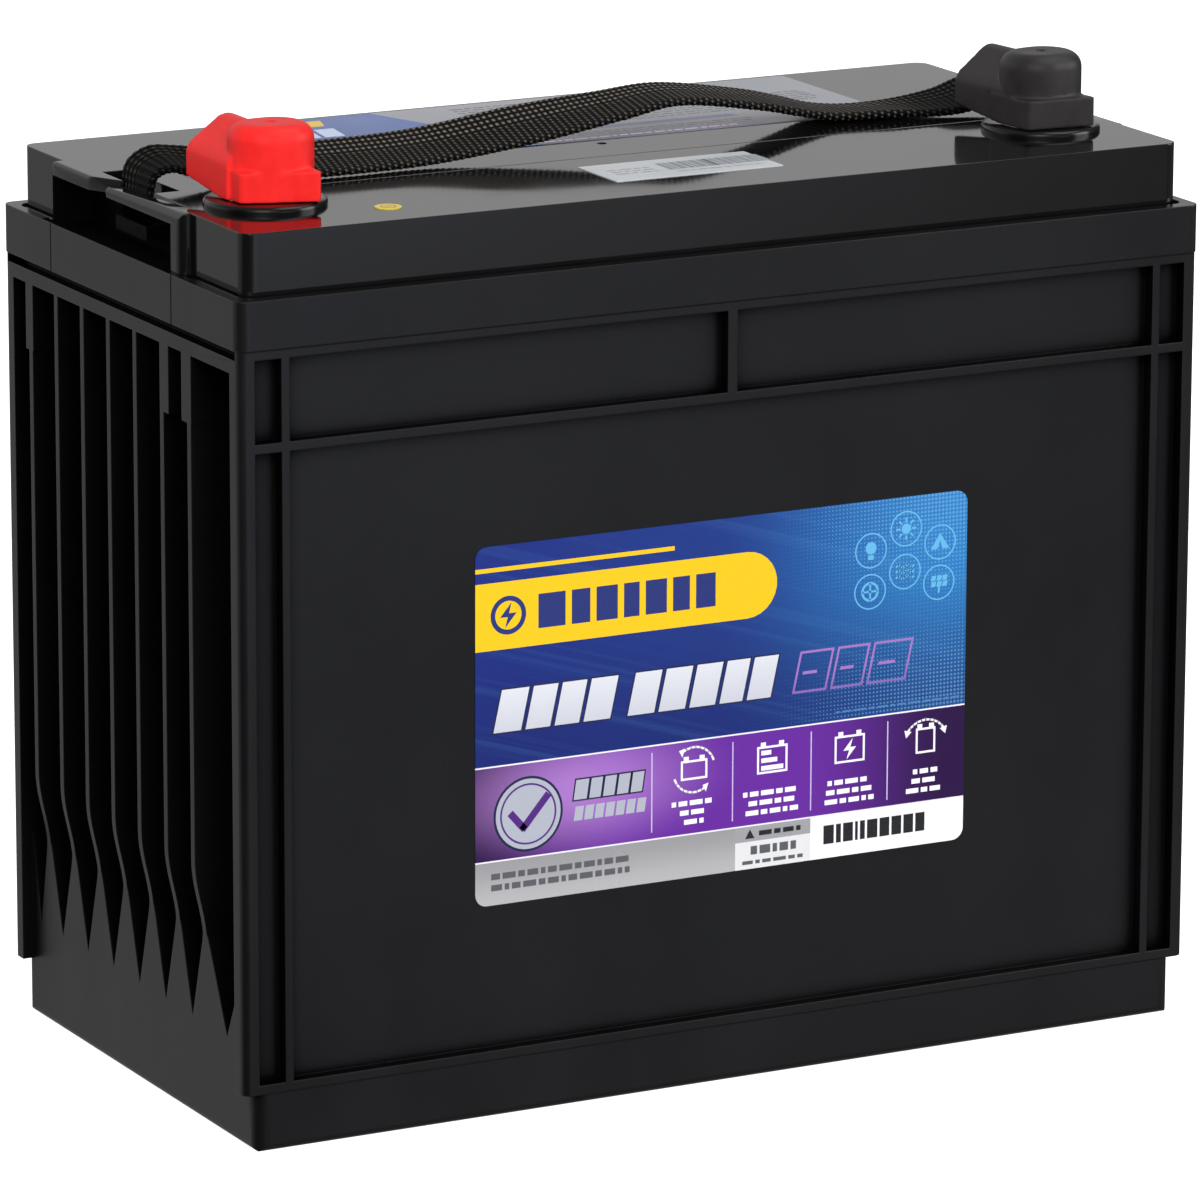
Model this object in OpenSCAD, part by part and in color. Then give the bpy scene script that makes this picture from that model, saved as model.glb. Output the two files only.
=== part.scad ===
// Deep cycle battery: 12 V absorbent-glass-mat block of six cells in a ribbed
// case, with bolt-on terminals under push-on boots and a braided carry strap.
// +X runs along the length, +Y to the back, +Z up. The origin is the centre of
// the case floor. Sizes are in millimetres.

/* [Case] */
// Length over the corner posts
case_l = 340; // [338:1:344]
// Depth over the front and back frames
case_w = 176; // [174:1:180]
// Height from the floor to the top of the lid
case_h = 289; // [284:1:292]
// Wall thickness of the case
wall_t = 3.5; // [3:0.5:4]
// Thickness of the walls between the cells
partition_t = 2.4; // [2:0.2:3]
// How far the front and back panels lie behind their frames
panel_depth = 4.4; // [3:0.2:5]
// How deep the slots between the end ribs are
slot_depth = 13; // [8:1:14]
// Thickness of an end rib at its outer edge
rib_t = 2.8; // [2:0.2:4]
// Distance between two end ribs
rib_pitch = 19.9; // [19:0.1:20.4]

/* [Terminals] */
// Distance between the two terminal axes
terminal_gap = 277; // [276:1:279]
// Distance of the terminal axes in front of the centre line
terminal_front = 41; // [39:0.5:42]
// Diameter of the terminal bolt's shank
bolt_d = 8; // [6:1:8]
// Length of the terminal bolt under its head
bolt_l = 16; // [14:1:18]
// Outer diameter of the collar around a terminal
collar_d = 38.6; // [36:0.2:40]

/* [Boots] */
// Outer width of a terminal boot
boot_w = 28; // [27:0.5:28.5]
// Height of a boot from its lower edge to its top
boot_h = 23.2; // [23:0.1:24.5]
// Rubber thickness of a boot
boot_t = 2.2; // [1.8:0.1:2.4]
// Turn of the negative boot on its terminal, in degrees
boot_turn = 6.5; // [4:0.5:8]

/* [Strap] */
// Width of the carry strap
strap_w = 20; // [18:1:22]
// Thickness of the carry strap
strap_t = 3; // [2.5:0.5:3.5]
// Distance of the strap's ends behind the centre line
strap_y = 5; // [4:0.5:7]

/* [Labels] */
// Width of the front and rear labels
label_l = 176; // [140:1:200]
// Height of the front and rear labels
label_h = 115.5; // [90:0.5:140]
// Thickness of every label
label_t = 0.25; // [0.2:0.05:0.4]

/* [Plates] */
// Positive plates in one cell
positive_count = 5; // [3:1:5]
// Thickness of a positive plate
positive_t = 3.5; // [2.5:0.1:3.5]
// Thickness of a negative plate
negative_t = 2.3; // [1.8:0.1:2.3]
// Height of the plates
plate_h = 208; // [180:1:212]

/* [Hidden] */
$fn = 64;
eps = 0.01;

// Plastic and rubber colours
case_black = "#26272a";
lid_black = "#1b1c1f";
lead_grey = "#7d8086";
bolt_steel = "#b9bcc0";

// Levels above the floor
skirt_top = 19;
lid_top = case_h;
ring_top = case_h - 19.5;
ring_bottom = case_h - 35;
weld_z = ring_top - 4;
panel_bottom = 22;
belt_bottom = case_h - 67;
belt_top = case_h - 64;
panel_top = case_h - 38;

// Half sizes of the case
end_x = case_l / 2;
face_y = case_w / 2;
panel_y = face_y - panel_depth;
skirt_x = end_x - 4;
skirt_y = face_y - 0.5;
ring_x = end_x + 0.5;
ring_y = face_y + 0.5;
// Depth of the groove under the ring at the ends
ring_groove = 3.5;
// Thickness of the rim that the ring keeps in front of each strap window
ring_rim = 0.8;
// Shallow seams across the ring at each end
seam_ys = [-40.5, 50];
seam_w = 0.5;
seam_depth = 0.4;
end_wall_x = end_x - slot_depth;
post_r = 3;
skirt_r = 5;
ring_r = 4;

// Posts and ribs of the front and back frames
post_inner_x = end_x - 5.2;
upright_outer_x = end_x - 14.1;
upright_inner_x = end_x - 16.9;
mullion_half = 1.75;

// Ribs and slots of the ends
rib_mid = 8;
rib_count = 7;
rib_half_count = (rib_count - 1) / 2;
rib_ys = [for (i = [-rib_half_count : rib_half_count]) rib_mid + i * rib_pitch];
slot_limit_y = face_y - 7;
slot_top = case_h - 42.5;
slot_peak_z = 62;
slot_tip_z = 32.5;
foot_low_z = 58;
foot_high_z = 86;
rib_head_z = belt_top;
// Ranges of y where the heads of three ribs are thicker
rib_heads = [[-53.3, -46.3], [-36.9, -30.6], [65.9, 71.5]];

// Cells inside the case
floor_t = 4;
cell_x = end_wall_x - wall_t;
cell_y = panel_y - wall_t;
cell_count = 6;
cell_pitch = (2 * cell_x + partition_t) / cell_count;
cell_l = cell_pitch - partition_t;
function cell_mid(i) = (i - (cell_count - 1) / 2) * cell_pitch;

// Lid
lid_x = end_x - 4.4;
lid_y = face_y - 5.6;
lid_r = 4.5;
lid_t = 3;
lid_lip = 1.3;
lip_top = ring_top - 0.7;
seat_gap = 0.2;

// Strap box at each end of the lid
box_x = end_x - 1;
box_floor = ring_top - 2.4;
box_roof = lid_top - 4.4;
box_back_y = 51;
window_front_y = -37;
window_back_y = box_back_y + 7.5;
box_front_y = -44.5;
box_inner_x = end_x - 18;
bar_w = 6.6;
bar_r = bar_w / 2;
bar_x = box_x - bar_r;
bar_free_y = 13.5;
// The bar sinks by this much towards its free end
bar_drop = 1.3;
// The tongue behind the bar ends in a slant between these two depths
tongue_inner_y = 11.5;
tongue_outer_y = 24;
tongue_edge = 1.2;
strap_slot_w = 8.6;
strap_slot_x = box_x - bar_w - strap_slot_w / 2;
strap_slot_front = -11;
strap_slot_back = 28;

// Vent trough and cover
cover_x = 142;
cover_y = 19.8;
cover_t = 2.8;
cover_r = 4;
cover_gap = 0.15;
trough_x = cover_x - 3;
trough_y = cover_y - 3;
trough_floor = lid_top - 13;
chimney_r = 6;
chimney_bore_r = 4;
chimney_top = lid_top - 7;
vent_hole_r = 1.5;

// Terminal stack, from the lid up
post_shank_r = 9;
post_hole_r = 9.1;
pad_r = 10;
pad_z = lid_top + 2.4;
collar_h = 2.3;
collar_bore_r = 10.5;
thread_depth = 18;
thread_gap = 0.08;
washer_t = 1.6;
washer_r = 8;
spring_t = 2;
spring_r = 6.6;
bolt_r = bolt_d / 2;
washer_bore_r = bolt_r + 0.3;
washer_z = pad_z;
spring_z = washer_z + washer_t;
head_z = spring_z + spring_t;
head_h = 5.3;
head_af = 13;
seal_r = 1.15;
seal_z = lid_top - 5;
boss_r = 12.5;
terminal_x = terminal_gap / 2;

// Boots. They are soft and sit a little askew, so the foot and the cap of each
// one are placed by the corners and the centre seen from the terminal's axis.
boot_z = lid_top + 2.5;
boot_top = boot_z + boot_h;
boot_half = boot_w / 2;
dome_r = 12;
dome_edge_r = 5.2;
dome_wide = boot_half - 0.4 - dome_r;
block_top = boot_z + 9.4;
block_edge = 1;
block_back = 8;
hood_end = 27.8;
hood_shoulder = boot_z + 12;
hood_shoulder_r = 5;
hood_crest = boot_top - 1.8;
hood_crest_r = 6;
hood_lift = 3;
hood_lift_y = 4;
dimple_r = 1.6;
// Front corners of the foot, left and right
positive_foot = [[-12.8, -9.4], [11.4, -17]];
negative_foot = [[-14.2, -12], [9.8, -16.4]];
positive_cap = [1.4, -1];
negative_cap = [-0.5, -0.2];

// Plate stacks
negative_count = positive_count + 1;
plate_gap = 0.05;
stack_l = cell_l - 0.6;
separator_count = 2 * positive_count;
plates_t = positive_count * positive_t + negative_count * negative_t;
separator_t = (stack_l - plates_t) / separator_count - 2 * plate_gap;
plate_w = 150;
plate_z = 8;
lug_w = 14;
lug_y = terminal_front;
lug_h = 8;
bus_z = plate_z + plate_h + lug_h;
bus_h = 8;
bus_w = 18;
link_z = bus_z + bus_h + 8;
link_r = 6;
link_gap = 0.1;
tab_t = 5;
tab_h = 16;

// A rectangle with round corners, centred on the origin
module rounded_rect(l, w, r) {
    square([l - 2 * r, w], center = true);
    square([l, w - 2 * r], center = true);
    for (x = [-1, 1], y = [-1, 1])
        translate([x * (l / 2 - r), y * (w / 2 - r)]) circle(r);
}

// An upright slab with round corners, given by its half sizes
module slab(half_x, half_y, r, z0, z1) {
    translate([0, 0, z0])
        linear_extrude(z1 - z0) rounded_rect(2 * half_x, 2 * half_y, r);
}

// A box between two corners
module box(low, high) {
    translate(low) cube(high - low);
}

// A flat shape drawn in Y and Z, stretched from x0 to x1
module along_x(x0, x1) {
    translate([x0, 0, 0]) rotate([90, 0, 90]) linear_extrude(x1 - x0) children();
}

// A flat shape drawn in X and Z, stretched from y0 to y1
module along_y(y0, y1) {
    translate([0, y1, 0]) rotate([90, 0, 0]) linear_extrude(y1 - y0) children();
}

module both_ends() {
    children();
    mirror([1, 0, 0]) children();
}

module both_faces() {
    children();
    mirror([0, 1, 0]) children();
}

// side is -1 at the positive terminal and 1 at the negative one
module at_terminal(side) {
    translate([side * terminal_x, -terminal_front, 0]) children();
}

// ---- Case ----

// Sunk panels of the front face, four beside the uprights and three between
module face_panels() {
    front = -face_y - 1;
    for (z = [[panel_bottom, belt_bottom], [belt_top, panel_top]])
        both_ends()
            box([upright_outer_x, front, z[0]], [post_inner_x, -panel_y, z[1]]);
    box([-upright_inner_x, front, panel_bottom], [upright_inner_x, -panel_y, belt_bottom]);
    both_ends()
        box([mullion_half, front, belt_top], [upright_inner_x, -panel_y, panel_top]);
}

function slot_low(i) = i == 0 ? -slot_limit_y : rib_ys[i - 1] + rib_t / 2;
function slot_high(i) = i == rib_count ? slot_limit_y : rib_ys[i] - rib_t / 2;

// Slots between the end ribs, each ending in a point at the bottom
module end_slots() {
    difference() {
        for (i = [0 : rib_count]) {
            low = slot_low(i);
            high = slot_high(i);
            along_x(end_wall_x, end_x + 1)
                polygon([
                    [low, slot_top], [low, slot_peak_z],
                    [(low + high) / 2, slot_tip_z],
                    [high, slot_peak_z], [high, slot_top]
                ]);
        }
        for (head = rib_heads)
            box([end_wall_x - 1, head[0], rib_head_z], [end_x + 2, head[1], slot_top + 1]);
    }
}

// The end ribs sweep inwards near the floor to meet the skirt
module rib_feet() {
    steps = 10;
    rise = foot_high_z - foot_low_z;
    reach = end_x - skirt_x;
    sweep = [for (i = [0 : steps])
        [skirt_x + reach * (1 - cos(180 * i / steps)) / 2, foot_low_z + rise * i / steps]];
    along_y(-slot_limit_y, slot_limit_y)
        polygon(concat(
            [[end_x + 1, skirt_top - 1], [skirt_x, skirt_top - 1]],
            sweep,
            [[end_x + 1, foot_high_z]]
        ));
}

// Removes a quarter round of radius r from the bottom edges of the skirt
module floor_rounding(r) {
    both_faces()
        along_x(-end_x, end_x)
            difference() {
                translate([-skirt_y - 1, -1]) square([r + 1, r + 1]);
                translate([-skirt_y + r, r]) circle(r);
            }
    both_ends()
        along_y(-face_y, face_y)
            difference() {
                translate([skirt_x - r, -1]) square([r + 1, r + 1]);
                translate([skirt_x - r, r]) circle(r);
            }
}

module container() {
    color(case_black)
        difference() {
            union() {
                slab(skirt_x, skirt_y, skirt_r, 0, panel_bottom);
                slab(end_x, face_y, post_r, skirt_top, ring_bottom);
                slab(ring_x, ring_y, ring_r, ring_bottom, ring_top);
            }
            floor_rounding(2.5);
            both_faces() face_panels();
            both_ends() {
                end_slots();
                rib_feet();
                box([end_x - ring_groove, -slot_limit_y - 4, panel_top],
                    [end_x + 0.2, slot_limit_y + 4, ring_bottom]);
                box([lid_x, window_front_y, box_floor],
                    [ring_x - ring_rim, window_back_y, ring_top + 1]);
                for (y = seam_ys)
                    box([ring_x - seam_depth, y - seam_w / 2, ring_bottom - 1],
                        [ring_x + 1, y + seam_w / 2, ring_top + 1]);
            }
            for (i = [0 : cell_count - 1])
                translate([cell_mid(i) - cell_l / 2, -cell_y, floor_t])
                    cube([cell_l, 2 * cell_y, case_h]);
            slab(lid_x + lid_lip + seat_gap, lid_y + lid_lip + seat_gap,
                lid_r, weld_z, case_h);
            for (i = [0 : cell_count - 2])
                translate([cell_mid(i), (i % 2 == 0 ? 1 : -1) * lug_y, link_z])
                    rotate([0, 90, 0]) cylinder(r = link_r + link_gap, h = cell_pitch);
        }
}

// ---- Lid ----

// Hollow under the lid over each cell, kept clear of the trough and terminals
module lid_hollows() {
    difference() {
        intersection() {
            for (i = [0 : cell_count - 1])
                translate([cell_mid(i) - cell_l / 2, -lid_y + lid_t, weld_z - 1])
                    cube([cell_l, 2 * (lid_y - lid_t), lid_top - lid_t - weld_z + 1]);
            box([-box_inner_x + 2.5, -lid_y, weld_z - 1], [box_inner_x - 2.5, lid_y, lid_top]);
        }
        box([-cover_x, -trough_y - 2.5, trough_floor - 2.5], [cover_x, trough_y + 2.5, lid_top]);
        for (side = [-1, 1])
            at_terminal(side) translate([0, 0, weld_z - 2]) cylinder(r = boss_r, h = 40);
    }
}

// Strap box standing out at the +X end of the lid, with its front corner round
module strap_box() {
    corner = box_x - lid_x;
    box([lid_x - 5, box_front_y + corner, ring_top], [box_x, window_front_y, lid_top]);
    box([lid_x - 5, box_front_y, ring_top], [lid_x, window_front_y, lid_top]);
    translate([lid_x, box_front_y + corner, ring_top])
        cylinder(r = corner, h = lid_top - ring_top);
    box([lid_x - 5, window_front_y - 1, box_roof], [box_x, box_back_y, lid_top]);
}

// Rounds the upper outer edge of the box between two depths
module box_edge_round(r, y0, y1) {
    along_y(y0, y1)
        difference() {
            translate([box_x - r, lid_top - r]) square(r + 1);
            translate([box_x - r, lid_top - r]) circle(r);
        }
}

// Everything cut out of the +X end of the lid for the strap
module strap_box_cuts() {
    slot_outer = strap_slot_x + strap_slot_w / 2;
    tip_y = bar_free_y - bar_r;
    box([box_inner_x, window_front_y, box_floor], [box_x + 1, window_back_y, box_roof]);
    box([strap_slot_x - strap_slot_w / 2, strap_slot_front, box_roof - 1],
        [slot_outer, strap_slot_back, lid_top + 1]);
    translate([0, 0, box_roof - 1])
        linear_extrude(lid_top - box_roof + 2)
            polygon([
                [strap_slot_x, tip_y], [box_x + 1, tip_y], [box_x + 1, tongue_outer_y],
                [box_x, tongue_outer_y], [slot_outer, tongue_inner_y], [strap_slot_x, tongue_inner_y]
            ]);
    along_x(slot_outer, box_x + 1)
        polygon([
            [window_front_y, lid_top], [tip_y, lid_top - bar_drop],
            [tip_y, lid_top + 1], [window_front_y, lid_top + 1]
        ]);
    box_edge_round(bar_r - eps, box_front_y - 1, tip_y + eps);
    box_edge_round(tongue_edge, tongue_inner_y, box_back_y + 1);
}

// Round free end of the bar in front of the strap slot
module bar_tip() {
    height = lid_top - bar_drop - box_roof;
    edge = height / 2;
    translate([bar_x, bar_free_y - bar_r, box_roof])
        rotate_extrude() {
            square([bar_r - edge, height]);
            intersection() {
                translate([bar_r - edge, edge]) circle(edge);
                square([bar_r, height]);
            }
        }
}

module lid() {
    color(lid_black)
        difference() {
            union() {
                difference() {
                    union() {
                        slab(lid_x + lid_lip, lid_y + lid_lip, lid_r, weld_z, lip_top);
                        slab(lid_x, lid_y, lid_r, weld_z, lid_top);
                        both_ends() strap_box();
                    }
                    lid_hollows();
                    both_ends() strap_box_cuts();
                    slab(cover_x + cover_gap, cover_y + cover_gap, cover_r,
                        lid_top - cover_t, lid_top + 1);
                    box([-trough_x, -trough_y, trough_floor], [trough_x, trough_y, lid_top]);
                }
                both_ends() bar_tip();
                for (i = [0 : cell_count - 1])
                    translate([cell_mid(i), 0, trough_floor - 1])
                        cylinder(r = chimney_r, h = chimney_top - trough_floor + 1);
            }
            for (i = [0 : cell_count - 1])
                translate([cell_mid(i), 0, trough_floor - 4])
                    cylinder(r = chimney_bore_r, h = 14);
            for (side = [-1, 1])
                at_terminal(side) {
                    translate([0, 0, weld_z - 1]) cylinder(r = post_hole_r, h = 40);
                    translate([0, 0, seal_z - seal_r - 0.05])
                        cylinder(r = post_shank_r + 2 * seal_r + 0.15, h = 2 * seal_r + 0.1);
                }
        }
}

module vent_cover() {
    color(lid_black)
        difference() {
            slab(cover_x, cover_y, cover_r, lid_top - cover_t, lid_top);
            translate([0, 0, lid_top - cover_t - 1]) cylinder(r = vent_hole_r, h = cover_t + 2);
        }
}

// Rubber cap that sits on a chimney and lifts when the cell vents
module valve_cap(i) {
    cap_t = 1.6;
    color("#2b2b2d")
        translate([cell_mid(i), 0, 0])
            difference() {
                translate([0, 0, chimney_top - 4]) cylinder(r = chimney_r + 1.5, h = 4 + cap_t);
                translate([0, 0, chimney_top - 5]) cylinder(r = chimney_r + 0.05, h = 5);
            }
}

// ---- Cells ----

// Place of plate k in a stack that starts and ends with a negative plate
step_x = positive_t + negative_t + 2 * separator_t + 4 * plate_gap;
function negative_x(k) = -stack_l / 2 + k * step_x;
function positive_x(k) = negative_x(k) + negative_t + separator_t + 2 * plate_gap;

// 1 where a cell's positive lugs are at the back, -1 where at the front
function positive_side(i) = i % 2 == 0 ? -1 : 1;

module plate(x, t, lug_side) {
    translate([x, -plate_w / 2, plate_z]) cube([t, plate_w, plate_h]);
    translate([x, lug_side * lug_y - lug_w / 2, plate_z + plate_h - eps])
        cube([t, lug_w, lug_h + eps]);
}

module positive_plates() {
    color("#5a3a2e")
        for (i = [0 : cell_count - 1], k = [0 : positive_count - 1])
            translate([cell_mid(i), 0, 0])
                plate(positive_x(k), positive_t, positive_side(i));
}

module negative_plates() {
    color(lead_grey)
        for (i = [0 : cell_count - 1], k = [0 : negative_count - 1])
            translate([cell_mid(i), 0, 0])
                plate(negative_x(k), negative_t, -positive_side(i));
}

module separators() {
    over = 2;
    color("white")
        for (i = [0 : cell_count - 1], k = [0 : positive_count - 1], side = [0, 1])
            translate([
                cell_mid(i) + (side == 0
                    ? negative_x(k) + negative_t + plate_gap
                    : positive_x(k) + positive_t + plate_gap),
                -plate_w / 2 - over,
                plate_z - over
            ]) cube([separator_t, plate_w + 2 * over, plate_h + 2 * over]);
}

// Cast bar that joins the lugs of one polarity in a cell
module bus_bar(i, side) {
    translate([cell_mid(i) - stack_l / 2, side * lug_y - bus_w / 2, bus_z])
        cube([stack_l, bus_w, bus_h]);
}

module positive_plate_straps() {
    color(lead_grey)
        for (i = [0 : cell_count - 1]) bus_bar(i, positive_side(i));
}

module negative_plate_straps() {
    color(lead_grey)
        for (i = [0 : cell_count - 1]) bus_bar(i, -positive_side(i));
}

// Welds that join each cell's negative bar to the next cell's positive bar
module intercell_links() {
    color(lead_grey)
        for (i = [0 : cell_count - 2])
            translate([cell_mid(i) + cell_pitch / 2, -positive_side(i) * lug_y, 0]) {
                for (side = [-1, 1])
                    translate([side * (partition_t / 2 + link_gap + tab_t / 2), 0,
                        bus_z + bus_h + tab_h / 2])
                        cube([tab_t, bus_w, tab_h], center = true);
                translate([-partition_t / 2 - 1, 0, link_z])
                    rotate([0, 90, 0]) cylinder(r = link_r, h = partition_t + 2);
            }
}

// ---- Terminals ----

module terminal_post(side) {
    foot_z = bus_z + bus_h;
    color("#b08d57")
        at_terminal(side)
            difference() {
                union() {
                    translate([0, 0, foot_z]) cylinder(r = bus_w / 2 - 1, h = weld_z - foot_z);
                    translate([0, 0, weld_z - eps])
                        cylinder(r = post_shank_r, h = lid_top - weld_z + 2 * eps);
                    translate([0, 0, lid_top]) cylinder(r = pad_r, h = pad_z - lid_top);
                }
                translate([0, 0, pad_z - thread_depth])
                    cylinder(r = bolt_r, h = thread_depth + 1);
            }
}

module terminal_seals() {
    color("#3a2a26")
        for (side = [-1, 1])
            at_terminal(side)
                translate([0, 0, seal_z])
                    rotate_extrude()
                        translate([post_shank_r + seal_r + 0.05, 0]) circle(seal_r);
}

module collar(side) {
    edge_r = 1.6;
    outer = collar_d / 2;
    color(lid_black)
        at_terminal(side)
            translate([0, 0, lid_top])
                rotate_extrude() {
                    translate([collar_bore_r, 0])
                        square([outer - collar_bore_r - edge_r, collar_h]);
                    translate([collar_bore_r, 0])
                        square([outer - collar_bore_r, collar_h - edge_r]);
                    intersection() {
                        translate([outer - edge_r, collar_h - edge_r]) circle(edge_r);
                        translate([collar_bore_r, 0]) square([outer, collar_h]);
                    }
                }
}

module flat_washer(side) {
    color(bolt_steel)
        at_terminal(side)
            translate([0, 0, washer_z])
                difference() {
                    cylinder(r = washer_r, h = washer_t);
                    translate([0, 0, -1]) cylinder(r = washer_bore_r, h = washer_t + 2);
                }
}

// Split lock washer, drawn flat as it lies under a tight bolt
module spring_washer(side) {
    split = 1.5;
    color(bolt_steel)
        at_terminal(side)
            translate([0, 0, spring_z])
                difference() {
                    cylinder(r = spring_r, h = spring_t);
                    translate([0, 0, -1]) cylinder(r = washer_bore_r, h = spring_t + 2);
                    translate([0, -split / 2, -1]) cube([spring_r + 1, split, spring_t + 2]);
                }
}

module bolt(side) {
    under_head = head_z - bolt_l;
    color(bolt_steel)
        at_terminal(side) {
            translate([0, 0, head_z])
                cylinder(r = head_af / 2 / cos(30), h = head_h, $fn = 6);
            translate([0, 0, under_head])
                cylinder(r = bolt_r - thread_gap, h = bolt_l + eps);
        }
}

// Points of an arc about a centre, from one angle to another
function arc(centre, r, from, to, steps) =
    [for (i = [0 : steps])
        let (angle = from + (to - from) * i / steps)
        centre + r * [cos(angle), sin(angle)]];

// Right half of the hood's outline, in X and Z: side, soft shoulder, slope, crest
function hood_side(half, bottom, inset) =
    let (
        shoulder_r = hood_shoulder_r - inset / 2,
        crest_r = hood_crest_r - inset,
        slope = 50
    )
    concat(
        [[half, bottom]],
        arc([half - shoulder_r, hood_shoulder - inset - 2], shoulder_r, 0, slope, 5),
        arc([0, hood_crest - inset - crest_r], crest_r, slope, 90, 4)
    );

// Roof-shaped outline of a boot's cable hood
module hood_outline(inset, bottom) {
    side = hood_side(boot_half - inset, bottom, inset);
    last = len(side) - 1;
    polygon(concat(side, [for (i = [last - 1 : -1 : 0]) [-side[i][0], side[i][1]]]));
}

// Half of an upright slice through the boot cap, with a soft top edge
module dome_outline(inset, bottom) {
    r = dome_r - inset;
    edge = dome_edge_r - inset;
    top = boot_top - inset;
    translate([0, bottom]) square([r - edge, top - bottom]);
    translate([0, bottom]) square([r, top - edge - bottom]);
    intersection() {
        translate([r - edge, top - edge]) circle(edge);
        translate([0, bottom]) square([r + 1, top - bottom + 1]);
    }
}

// Boot cap: two round ends with a straight stretch between them
module boot_dome(centre, inset, bottom) {
    translate(centre) {
        for (x = [-dome_wide, dome_wide])
            translate([x, 0, 0]) rotate_extrude() dome_outline(inset, bottom);
        along_x(-dome_wide, dome_wide) {
            dome_outline(inset, bottom);
            mirror([1, 0]) dome_outline(inset, bottom);
        }
    }
}

// Square foot of the boot. front holds its two front corners.
module boot_foot(front, inset, bottom, top) {
    left = front[0] + [inset, inset];
    right = front[1] + [-inset, inset];
    translate([0, 0, bottom])
        linear_extrude(top - bottom)
            polygon([
                [left[0], block_back], left + [0, block_edge], left + [block_edge, 0],
                right - [block_edge, 0], right + [0, block_edge], [right[0], block_back]
            ]);
}

// Push-on rubber boot: cap over the bolt, square foot and cable hood to the back
module boot(side, turn, front, centre, tint) {
    color(tint)
        at_terminal(side)
            rotate([0, 0, turn])
            difference() {
                union() {
                    boot_dome(centre, 0, boot_z);
                    boot_foot(front, 0, boot_z, block_top);
                    along_y(-2, hood_end) hood_outline(0, boot_z);
                }
                boot_dome(centre, boot_t, boot_z - 1);
                boot_foot(front, boot_t, boot_z - 1, block_top - boot_t);
                along_y(-1, hood_end + 1) hood_outline(boot_t, boot_z - 1);
                along_x(-boot_half - 1, boot_half + 1)
                    polygon([
                        [hood_lift_y, boot_z - 1], [hood_end + 1, boot_z - 1],
                        [hood_end + 1, boot_z + hood_lift], [hood_lift_y, boot_z]
                    ]);
                translate([centre[0], centre[1], boot_top + 0.4]) sphere(dimple_r);
            }
}

// ---- Strap ----

// Rise of the strap's middle line over the lid, from the left slot to the right
strap_rises = [
    [-159, -11], [-159, -1], [-157.8, 4.5], [-152.5, 6.9], [-146, 6.2], [-120, 4.8],
    [-95, 4.6], [-64, 5.2], [-30, 8.7], [2, 11.9], [25, 13.5], [54, 9.6], [70, 6.2],
    [82, 3.4], [92, 2.3], [114, 2.3], [126, 3.3], [145, 6.4], [152.5, 6.9], [157.8, 4.5],
    [159, -1], [159, -11]
];
strap_knots = [for (p = strap_rises) [p[0], lid_top + p[1]]];
strap_steps = 4;
strap_last = len(strap_knots) - 1;

// Smooth curve through the knots (Catmull-Rom)
function knot(i) = strap_knots[max(0, min(strap_last, i))];
function strap_point(i, t) =
    let (a = knot(i - 1), b = knot(i), c = knot(i + 1), d = knot(i + 2))
    (2 * b + (c - a) * t + (2 * a - 5 * b + 4 * c - d) * t * t
        + (3 * b - a - 3 * c + d) * t * t * t) / 2;
strap_line = concat(
    [for (i = [0 : strap_last - 1], k = [0 : strap_steps - 1]) strap_point(i, k / strap_steps)],
    [knot(strap_last)]
);

function unit(v) = v / norm(v);
function across(i) =
    let (
        n = len(strap_line) - 1,
        along = unit(strap_line[min(n, i + 1)] - strap_line[max(0, i - 1)])
    ) [-along[1], along[0]];

// The whole strap as one band; its three lengths are cut from it
module strap_band() {
    n = len(strap_line) - 1;
    upper = [for (i = [0 : n]) strap_line[i] + across(i) * strap_t / 2];
    lower = [for (i = [n : -1 : 0]) strap_line[i] - across(i) * strap_t / 2];
    along_y(strap_y - strap_w / 2, strap_y + strap_w / 2) polygon(concat(upper, lower));
}

strap_split_x = 96;
strap_split_gap = 1;
// Depth of the middle line where the three lengths meet, at the left and right
split_ys = [-4, 4];
strap_end_x = strap_knots[strap_last][0];

// The band swung in plan about the point (x, strap_y) by an angle
module swung_band(x, angle) {
    translate([x, strap_y, 0]) rotate([0, 0, angle]) translate([-x, -strap_y, 0]) strap_band();
}

module strap_cut(x0, x1) {
    color("#161616")
        intersection() {
            children();
            box([x0, -face_y, weld_z], [x1, face_y, lid_top + 60]);
        }
}

module strap_end(side) {
    split_y = side < 0 ? split_ys[0] : split_ys[1];
    near = strap_split_x + strap_split_gap;
    angle = side * atan((strap_y - split_y) / (strap_end_x - near));
    strap_cut(side < 0 ? -end_x : near, side < 0 ? -near : end_x)
        swung_band(side * strap_end_x, angle);
}

module strap_middle() {
    angle = atan((split_ys[1] - split_ys[0]) / (2 * strap_split_x));
    strap_cut(-strap_split_x, strap_split_x)
        translate([0, (split_ys[0] + split_ys[1]) / 2 - strap_y, 0]) swung_band(0, angle);
}

// Moulded stop under the slot that keeps the strap's end in the box
module strap_stop(side) {
    stop_h = 4.5;
    half_x = 4;
    half_y = strap_w / 2 + 1.5;
    top = strap_knots[0][1] - 0.3;
    x = side * strap_end_x;
    color("#1f1f21")
        box([x - half_x, strap_y - half_y, top - stop_h], [x + half_x, strap_y + half_y, top]);
}

// ---- Labels ----

label_z = 125.8;
label_r = 4;

module front_label() {
    color("#1f4fa0")
        translate([0, 0, label_z])
            along_y(-panel_y - label_t, -panel_y) rounded_rect(label_l, label_h, label_r);
}

module rear_label() {
    color("#e9ecef")
        translate([0, 0, label_z])
            along_y(panel_y, panel_y + label_t) rounded_rect(label_l, label_h, label_r);
}

// A label lying on the lid, given by its corners
module lid_label(low, high, r) {
    size = high - low;
    translate([(low[0] + high[0]) / 2, (low[1] + high[1]) / 2, lid_top])
        linear_extrude(label_t) rounded_rect(size[0], size[1], r);
}

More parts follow.
